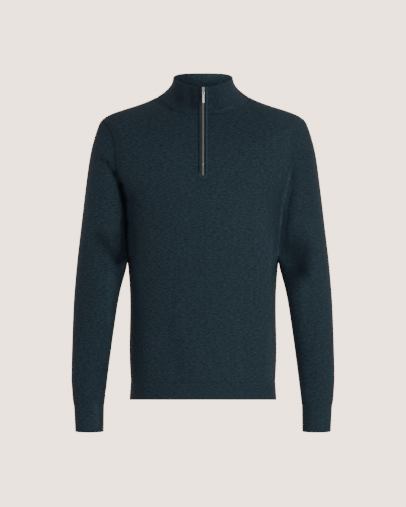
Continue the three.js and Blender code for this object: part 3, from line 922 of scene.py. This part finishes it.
# %% Slimmer metal
METAL_ASIDE = 0.8 * MM
TEETH_ASIDE = 0.2 * MM
SLIDER_SHARE = 0.76
TEETH_SHARE = 0.88
TAB_SHARES = (0.58, 0.72)
NECK_SHARE = 0.45
NECK_Z = 16.2 * MM
NECK_HALF = 1.3 * MM
NECK_ENDS = (NECK_Z - NECK_HALF, NECK_Z + NECK_HALF)


def pinch_neck(obj):
    """Three cuts across the tab below its eye, the middle one drawn in to a narrow neck."""
    edit(obj)
    for height in (NECK_ENDS[0], NECK_Z, NECK_ENDS[1]):
        bpy.ops.mesh.select_all(action="SELECT")
        bpy.ops.mesh.bisect(plane_co=(0, 0, height), plane_no=(0, 0, 1))
    leave_edit()
    places = points_of(obj.data)
    in_neck = np.abs(places[:, 2] - NECK_Z) < NECK_HALF / 2
    places[in_neck, 0] *= NECK_SHARE
    move_points(obj.data, places)


def narrow(obj, share, aside):
    places = points_of(obj.data)
    places[:, 0] = places[:, 0] * share + aside
    move_points(obj.data, places)


pinch_neck(tab)
narrow(tab, np.interp(points_of(tab.data)[:, 2], NECK_ENDS, TAB_SHARES), METAL_ASIDE)
narrow(slider, SLIDER_SHARE, METAL_ASIDE)
narrow(teeth, TEETH_SHARE, TEETH_ASIDE)
print("widest part of the tab in mm:", round(np.ptp(points_of(tab.data)[:, 0]) / MM, 1))

# %% [markdown]
# One folded edge of the placket catches the light, the other lies in shade, and so does the strip
# beside the tab. This is painted like the shade of the folds, as a row of shares across the strip.

# %% Shade on the placket
PLACKET_X = [-8.5, -5, -2, 2, 5, 8]
PLACKET_SHADE = [0.65, -0.2, 0, 0.75, 0.5, -0.9]
TAB_SHADOW = 0.6
TAB_LOW = -10 * MM
STRIP_TURN = -158 * MM
STRIP_END_SHADE = -0.3

strip_x, _, strip_z = points_of(placket.data).T
strip_shade = np.interp(strip_x / MM, PLACKET_X, PLACKET_SHADE)
strip_shade[(strip_x < 0) & (strip_z > TAB_LOW)] = TAB_SHADOW
# The round lower end of the strip gets painted light.
strip_shade[strip_z < STRIP_TURN] = STRIP_END_SHADE
placket.data.attributes.new("shade", "FLOAT", "POINT").data.foreach_set("value", strip_shade)
print("shade of the strip from", round(strip_shade.min(), 2), "to", round(strip_shade.max(), 2))

# %% [markdown]
# The placket's knit runs along the strip and round its lower end. Its own flat layout says so: across
# is the distance from the middle of the zip, and along is the way down the strip.

# %% Stitch direction on the placket


def lay_strip_flat(obj):
    low = min(corner.co.z for corner in obj.data.vertices)
    half = max(corner.co.x for corner in obj.data.vertices)
    turn = low + half
    layer = obj.data.uv_layers.new(name="UVMap") if not obj.data.uv_layers else obj.data.uv_layers.active
    for loop in obj.data.loops:
        x, _, z = obj.data.vertices[loop.vertex_index].co
        below = max(turn - z, 0)
        around = math.atan2(below, abs(x)) * half
        layer.uv[loop.index].vector = (math.hypot(x, below), max(z - turn, 0) - around)


lay_strip_flat(placket)
print("placket laid flat")

# %% [markdown]
# ## Materials
# A material is a small network of shader nodes. These helpers add nodes whose inputs are plain numbers
# or come out of another node.

# %% Helpers for shader nodes


def feed(tree, node, inputs):
    """Sets each named input of a node, or links it to the socket that it comes from."""
    for name, value in inputs.items():
        if isinstance(value, bpy.types.NodeSocket):
            tree.links.new(value, node.inputs[name])
        else:
            node.inputs[name].default_value = value


def add_node(tree, kind, inputs=None, **settings):
    node = tree.nodes.new(kind)
    for name, value in settings.items():
        setattr(node, name, value)
    feed(tree, node, inputs or {})
    return node


def maths(tree, operation, *values):
    return add_node(tree, "ShaderNodeMath", dict(enumerate(values)), operation=operation).outputs[0]


def plus(tree, first, second):
    return maths(tree, "ADD", first, second)


def minus(tree, first, second):
    return maths(tree, "SUBTRACT", first, second)


def times(tree, first, second):
    return maths(tree, "MULTIPLY", first, second)


def hump(tree, value):
    """A round hump from 0 over 1 back to 0, between one whole number and the next."""
    share = maths(tree, "FRACT", value)
    return maths(tree, "SQRT", times(tree, times(tree, share, minus(tree, 1, share)), 4))


def ramp(tree, value, start, end, first=0, last=1, kind="LINEAR"):
    """Goes from the first number to the last as the value goes from start to end."""
    inputs = {"Value": value, "From Min": start, "From Max": end, "To Min": first, "To Max": last}
    return add_node(tree, "ShaderNodeMapRange", inputs, interpolation_type=kind).outputs[0]


def blend_colours(tree, share, first, second, mode="MIX"):
    inputs = {0: share, 6: first, 7: second}
    return add_node(tree, "ShaderNodeMix", inputs, data_type="RGBA", blend_type=mode).outputs[2]


def noise(tree, place, scale, detail, roughness=0.5):
    """A cloudy pattern between 0 and 1."""
    inputs = {"Vector": place, "Scale": scale, "Detail": detail, "Roughness": roughness}
    return add_node(tree, "ShaderNodeTexNoise", inputs).outputs[0]


def stretched(tree, place, scales):
    return add_node(tree, "ShaderNodeMapping", {"Vector": place, "Scale": scales}).outputs[0]


def bumps(tree, height, distance, strength=1):
    inputs = {"Height": height, "Distance": distance, "Strength": strength}
    return add_node(tree, "ShaderNodeBump", inputs).outputs[0]


def split(tree, place):
    return add_node(tree, "ShaderNodeSeparateXYZ", {0: place}).outputs


def object_place(tree):
    return add_node(tree, "ShaderNodeTexCoord").outputs["Object"]


def point_value(tree, name):
    return add_node(tree, "ShaderNodeAttribute", attribute_name=name).outputs["Fac"]


def new_group(name, inputs, outputs):
    """An empty node group with named sockets, what it is given, and the node for its results."""
    group = bpy.data.node_groups.new(name, "ShaderNodeTree")
    for way, sockets in (("INPUT", inputs), ("OUTPUT", outputs)):
        for socket, kind in sockets.items():
            group.interface.new_socket(socket, in_out=way, socket_type="NodeSocket" + kind)
    return group, group.nodes.new("NodeGroupInput").outputs, group.nodes.new("NodeGroupOutput")


def place_group(tree, group, inputs):
    return add_node(tree, "ShaderNodeGroup", inputs, node_tree=group).outputs


print("shader helpers ready")

# %% [markdown]
# Plain knitting is a field of small V shapes. Each V is one stitch, and its two legs lean towards each
# other. The group below draws one stitch cell by cell from the flat layout.

# %% Knit stitches
LEG_SLOPE = 1.8

tree, given, result = new_group(
    "knit stitches",
    {"Layout": "Vector", "Stitch Width": "Float", "Stitch Height": "Float", "Dark Yarn": "Color",
     "Light Yarn": "Color", "Streak Length": "Float", "Groove": "Float", "Shade": "Float"},
    {"Colour": "Color", "Height": "Float"},
)
knit_group = tree
spot = split(tree, given["Layout"])
column = maths(tree, "DIVIDE", spot["X"], given["Stitch Width"])
row = maths(tree, "DIVIDE", spot["Y"], given["Stitch Height"])
from_middle = maths(tree, "ABSOLUTE", minus(tree, maths(tree, "FRACT", column), 0.5))
leaning = minus(tree, row, times(tree, from_middle, LEG_SLOPE))
course = maths(tree, "FLOOR", leaning)
yarn = times(tree, hump(tree, leaning), hump(tree, times(tree, column, 2)))
print("nodes for the stitches:", len(tree.nodes))

# %% [markdown]
# Every row is knitted from the next stretch of yarn, so a heathered yarn, spun from dark and light
# fibres, shows as faint streaks along the rows. Single fibres and small clouds of dark and light make it
# uneven, and so does the dye, which took a little redder in some places and greener in others.

# %% Heathered yarn
ROW_SHIFT_X = 7.31
ROW_SHIFT_Y = 3.17
STREAKS = 0.4
FIBRES = 0.15
CLOUDS = 0.45
FIBRE_SCALE = 2600
CLOUD_SCALES = (130, 560, 1)
DYE_SCALE = 60
DARK_TO_LIGHT = (0.38, 0.62)
RED_TO_GREEN = (0.3, 0.7)
REDDER = (1.12, 0.96, 1.0, 1)
GREENER = (0.90, 1.03, 0.99, 1)

along_yarn = maths(tree, "DIVIDE", spot["X"], given["Streak Length"])
stretch = add_node(tree, "ShaderNodeCombineXYZ", {
    0: plus(tree, along_yarn, times(tree, course, ROW_SHIFT_X)),
    1: times(tree, course, ROW_SHIFT_Y),
}).outputs[0]
streak = noise(tree, stretch, 1, detail=3, roughness=0.65)
fibre = noise(tree, given["Layout"], FIBRE_SCALE, detail=1)
cloud = noise(tree, stretched(tree, given["Layout"], CLOUD_SCALES), 1, detail=2, roughness=0.6)
uneven = plus(tree, times(tree, fibre, FIBRES), times(tree, cloud, CLOUDS))
heather = ramp(tree, plus(tree, times(tree, streak, STREAKS), uneven), *DARK_TO_LIGHT)
dyed = blend_colours(tree, heather, given["Dark Yarn"], given["Light Yarn"])
dye = ramp(tree, noise(tree, given["Layout"], DYE_SCALE, detail=2), *RED_TO_GREEN)
tint = blend_colours(tree, dye, REDDER, GREENER)
yarn_colour = blend_colours(tree, 1, dyed, tint, "MULTIPLY")
print("nodes with the heather:", len(tree.nodes))

# %% [markdown]
# Last, the group paints shade into the gaps between the stitches and into the grooves of the seams,
# and it takes the other painted shade off the colour. A shadow is a little bluer than what is lit, so
# the shade works more on red than on blue.

# %% Light and height of the knit
GAP_LIGHT = 0.62
YARN_LIGHT = 0.5
GROOVE_DARK = 0.75
GROOVE_DEEP = 1.4
FIBRE_RELIEF = 0.25
SHADE_ON_COLOURS = (1.15, 1, 0.9)

# The gaps between stitches and the grooves of the seams get painted shade.
stitch_light = plus(tree, times(tree, yarn, YARN_LIGHT), GAP_LIGHT)
groove_light = minus(tree, 1, times(tree, given["Groove"], GROOVE_DARK))
painted_gap_and_groove_light = times(tree, stitch_light, groove_light)
light = {
    number: times(tree, painted_gap_and_groove_light, minus(tree, 1, times(tree, given["Shade"], share)))
    for number, share in enumerate(SHADE_ON_COLOURS)
}
shade_colour = add_node(tree, "ShaderNodeCombineColor", light).outputs[0]
sunken = minus(tree, yarn, times(tree, given["Groove"], GROOVE_DEEP))
feed(tree, result, {
    "Colour": blend_colours(tree, 1, yarn_colour, shade_colour, "MULTIPLY"),
    "Height": plus(tree, sunken, times(tree, fibre, FIBRE_RELIEF)),
})
print("nodes in the knit group:", len(tree.nodes))

# %% [markdown]
# The cloth's own material places that group. Wool is dull, and fine fibres that stand up from it catch
# a little light at its edges. The hem, cuffs and collar are knitted finer than the body, and the
# placket finer still.

# %% Cloth materials
DARK_YARN = (0.0045, 0.0105, 0.0150, 1)
LIGHT_YARN = (0.0190, 0.0400, 0.0540, 1)
GROOVE_WIDTH = 1.3 * MM
STITCH_RELIEF = 0.32 * MM
KNITS = [
    # name, width and height of a stitch, length of a streak, all in mm
    ("knit_body", 1.5, 1.15, 9),
    ("knit_band", 1.35, 1.05, 7),
    ("knit_strip", 1.2, 1.0, 6),
]


def new_material(name):
    material = bpy.data.materials.new(name)
    material.use_nodes = True
    tree = material.node_tree
    return material, tree, tree.nodes["Principled BSDF"]


def knit_material(name, width, height, streak_length):
    material, tree, surface = new_material(name)
    # The seam's darkness is painted shade in its groove.
    dark = point_value(tree, "seam_shade")
    drawn = place_group(tree, knit_group, {
        "Layout": add_node(tree, "ShaderNodeUVMap", uv_map="UVMap").outputs[0],
        "Stitch Width": width * MM,
        "Stitch Height": height * MM,
        "Dark Yarn": DARK_YARN,
        "Light Yarn": LIGHT_YARN,
        "Streak Length": streak_length * MM,
        "Groove": ramp(tree, point_value(tree, "seam"), 0, GROOVE_WIDTH, dark, 0, "SMOOTHSTEP"),
        "Shade": point_value(tree, "shade"),
    })
    feed(tree, surface, {
        "Base Color": drawn["Colour"],
        "Normal": bumps(tree, drawn["Height"], STITCH_RELIEF, 0.7),
        "Roughness": 0.85,
        "Specular IOR Level": 0.15,
        "Sheen Weight": 0.03,
        "Sheen Roughness": 0.35,
        "Sheen Tint": (0.55, 0.72, 0.85, 1),
    })
    return material


knit_body, knit_band, knit_strip = [knit_material(*row) for row in KNITS]
print("cloth materials:", knit_body.name, knit_band.name, knit_strip.name)

# %% [markdown]
# The tape is woven so finely that only the slanting ribs of its twill show. The metal is nickel,
# brushed along its length and a little worn. Teeth, slider and tab are copies of one nickel painted at
# three brightnesses for how each lies in the light, darkest on the teeth and brightest on the tab. Both
# read the place on the object itself.

# %% Tape and metal
TAPE_RIB = 0.55 * MM
TAPE_RELIEF = 0.1 * MM
TAPE_DARK = (0.004, 0.007, 0.010, 1)
TAPE_LIGHT = (0.012, 0.020, 0.026, 1)
BRUSH_SCALES = (9000, 9000, 300)
BRUSH_RELIEF = 0.02 * MM
WEAR_SCALE = 420
METALS = [
    # name, colour where it is bright, colour where it is worn
    # one nickel at three painted brightnesses, for how each part lies in the light
    ("nickel_teeth", (0.33, 0.35, 0.33, 1), (0.19, 0.20, 0.19, 1)),
    ("nickel_slider", (0.39, 0.40, 0.38, 1), (0.26, 0.27, 0.255, 1)),
    ("nickel_tab", (0.92, 0.95, 0.92, 1), (0.74, 0.76, 0.74, 1)),
]


def tape_material():
    material, tree, surface = new_material("tape_twill")
    spot = split(tree, object_place(tree))
    slanting = plus(tree, maths(tree, "ABSOLUTE", spot["X"]), spot["Z"])
    rib = hump(tree, maths(tree, "DIVIDE", slanting, TAPE_RIB))
    feed(tree, surface, {
        "Base Color": blend_colours(tree, rib, TAPE_DARK, TAPE_LIGHT),
        "Normal": bumps(tree, rib, TAPE_RELIEF),
        "Roughness": 0.7,
    })
    return material


tree, given, result = new_group(
    "brushed metal", {"Place": "Vector", "Bright": "Color", "Worn": "Color"},
    {"Colour": "Color", "Roughness": "Float", "Height": "Float"},
)
metal_group = tree
brushing = noise(tree, stretched(tree, given["Place"], BRUSH_SCALES), 1, detail=2)
wear = noise(tree, given["Place"], WEAR_SCALE, detail=3)
feed(tree, result, {
    "Colour": blend_colours(tree, wear, given["Bright"], given["Worn"]),
    "Roughness": plus(tree, times(tree, brushing, 0.25), 0.2),
    "Height": brushing,
})


def metal_material(name, bright, worn):
    material, tree, surface = new_material(name)
    drawn = place_group(tree, metal_group, {"Place": object_place(tree), "Bright": bright, "Worn": worn})
    feed(tree, surface, {
        "Base Color": drawn["Colour"],
        "Roughness": drawn["Roughness"],
        "Normal": bumps(tree, drawn["Height"], BRUSH_RELIEF),
        "Metallic": 1,
    })
    return material


tape_twill = tape_material()
nickel_teeth, nickel_slider, nickel_tab = [metal_material(*row) for row in METALS]
print("hard materials:", tape_twill.name, nickel_teeth.name, nickel_slider.name, nickel_tab.name)

# %% [markdown]
# ## Putting it together
# Each piece takes its material and what it moves with, and the solids that it stands for are
# hidden. The cloth table also lists the size that each panel had when it was knitted flat and what it
# hangs on, which nothing here reads.

# %% Pieces of cloth
CLOTH = [
    # panel, material, flat width and length in m, flat area in square metres, what it hangs on
    ("front", knit_body, 0.485, 0.668, 0.272, ["knit_collar"]),
    ("back", knit_body, 0.482, 0.678, 0.281, ["knit_collar"]),
    ("sleeve_right", knit_body, 0.364, 0.625, 0.164, ["knit_front", "knit_back"]),
    ("sleeve_left", knit_body, 0.364, 0.625, 0.164, ["knit_front", "knit_back"]),
    ("collar", knit_band, 0.421, 0.150, 0.0298, ["knit_front", "knit_back"]),
    ("hem_band", knit_band, 0.883, 0.045, 0.0392, ["knit_front", "knit_back"]),
    ("cuff_right", knit_band, 0.204, 0.062, 0.0121, ["knit_sleeve_right"]),
    ("cuff_left", knit_band, 0.204, 0.062, 0.0121, ["knit_sleeve_left"]),
]


def finish_piece(obj, material, body, slot, *nodes):
    obj.data.materials.clear()
    obj.data.materials.append(material)
    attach(obj, body)
    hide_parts(*nodes)


for name, material, *_ in CLOTH:
    finish_piece(cloth[name], material, "garment", "knit", *SOLIDS_OF[name])
finish_piece(placket, knit_strip, "garment", "knit", "zip_placket")
finish_piece(tape_right, tape_twill, "garment", "zip_tape", "zip_tape_right")
finish_piece(tape_left, tape_twill, "garment", "zip_tape", "zip_tape_left")
finish_piece(teeth, nickel_teeth, "garment", "zip_teeth", "zip_chain")
finish_piece(slider, nickel_slider, "garment", "zip_metal", "zip_slider")
finish_piece(tab, nickel_tab, "pull_tab", "zip_metal", "zip_pull_tab")

# %% [markdown]
# ## The studio
# The wall and floor are a plain warm white, and the floor fades out into the wall, so there is no line
# between them. Their brightness is only for the camera: it lights nothing, or the sweater would be lit
# from below.

# %% Floor and wall
FLOOR_HEIGHT = -0.98
FLOOR_RADIUS = 0.75
FLOOR_SOLID = 0.25
FLOOR_COLOUR = (0.80, 0.775, 0.75, 1)
WALL_COLOUR = (1.0, 0.795, 0.640, 1)
WALL_BRIGHTNESS = 3.8
ROOM_COLOUR = (1.05, 0.98, 1.0, 1)
ROOM_LIGHT = 0.8


def camera_ray(tree):
    return add_node(tree, "ShaderNodeLightPath").outputs["Is Camera Ray"]


bpy.ops.object.select_all(action="DESELECT")
bpy.ops.mesh.primitive_circle_add(
    vertices=96, radius=FLOOR_RADIUS, fill_type="NGON", location=(0, 0, FLOOR_HEIGHT))
floor = bpy.context.object
floor.name = "floor"
bpy.ops.object.transform_apply(location=True)

floor_paint, tree, surface = new_material("floor_paint")
spot = split(tree, object_place(tree))
squares = [maths(tree, "POWER", spot[axis], 2) for axis in "XY"]
radius = maths(tree, "SQRT", plus(tree, *squares))
feed(tree, surface, {
    "Alpha": ramp(tree, radius, FLOOR_SOLID, FLOOR_RADIUS, 1, 0, "SMOOTHSTEP"),
    "Emission Color": WALL_COLOUR,
    "Emission Strength": times(tree, camera_ray(tree), WALL_BRIGHTNESS - 1),
    "Base Color": FLOOR_COLOUR,
    "Roughness": 0.9,
    "Specular IOR Level": 0.1,
})
floor.data.materials.append(floor_paint)

world = bpy.data.worlds.new("studio")
world.use_nodes = True
bpy.context.scene.world = world
tree = world.node_tree
room = tree.nodes["Background"]
feed(tree, room, {"Color": ROOM_COLOUR, "Strength": ROOM_LIGHT})
wall = add_node(tree, "ShaderNodeBackground", {"Color": WALL_COLOUR, "Strength": WALL_BRIGHTNESS})
both = add_node(tree, "ShaderNodeMixShader", {0: camera_ray(tree), 1: room.outputs[0], 2: wall.outputs[0]})
feed(tree, tree.nodes["World Output"], {"Surface": both.outputs[0]})
print("floor at", FLOOR_HEIGHT, "m")

# %% [markdown]
# The main light is a large soft one in front on the right, at the height of the shoulders, so the right
# edges of the sweater are bright and the left ones fall into shade. A weaker one near the camera and
# the light of the room open the shadows, and two more light the back.

# %% Lamps
LAMP_AIM = Vector((0, 0, -0.3))
LAMPS = [
    # name, place, size in m, power in W, colour
    ("key", (2.2, -2.2, 0.0), 1.0, 52, (1, 1, 0.98)),
    ("front", (0.4, -4.2, -0.3), 2.0, 25.8, (0.97, 1, 1)),
    ("back_right", (1.6, 3.2, 0.4), 1.8, 22, (1, 1, 1)),
    ("back_left", (-1.8, 3.0, 0.3), 1.8, 14, (1, 1, 1)),
]
for name, place, size, power, colour in LAMPS:
    lamp_data = bpy.data.lights.new(name, "AREA")
    lamp_data.size = size
    lamp_data.energy = power
    lamp_data.color = colour
    lamp = add_object(name, lamp_data)
    lamp.location = place
    lamp.rotation_euler = (LAMP_AIM - Vector(place)).to_track_quat("-Z", "Y").to_euler()
print("lamps:", len(LAMPS))
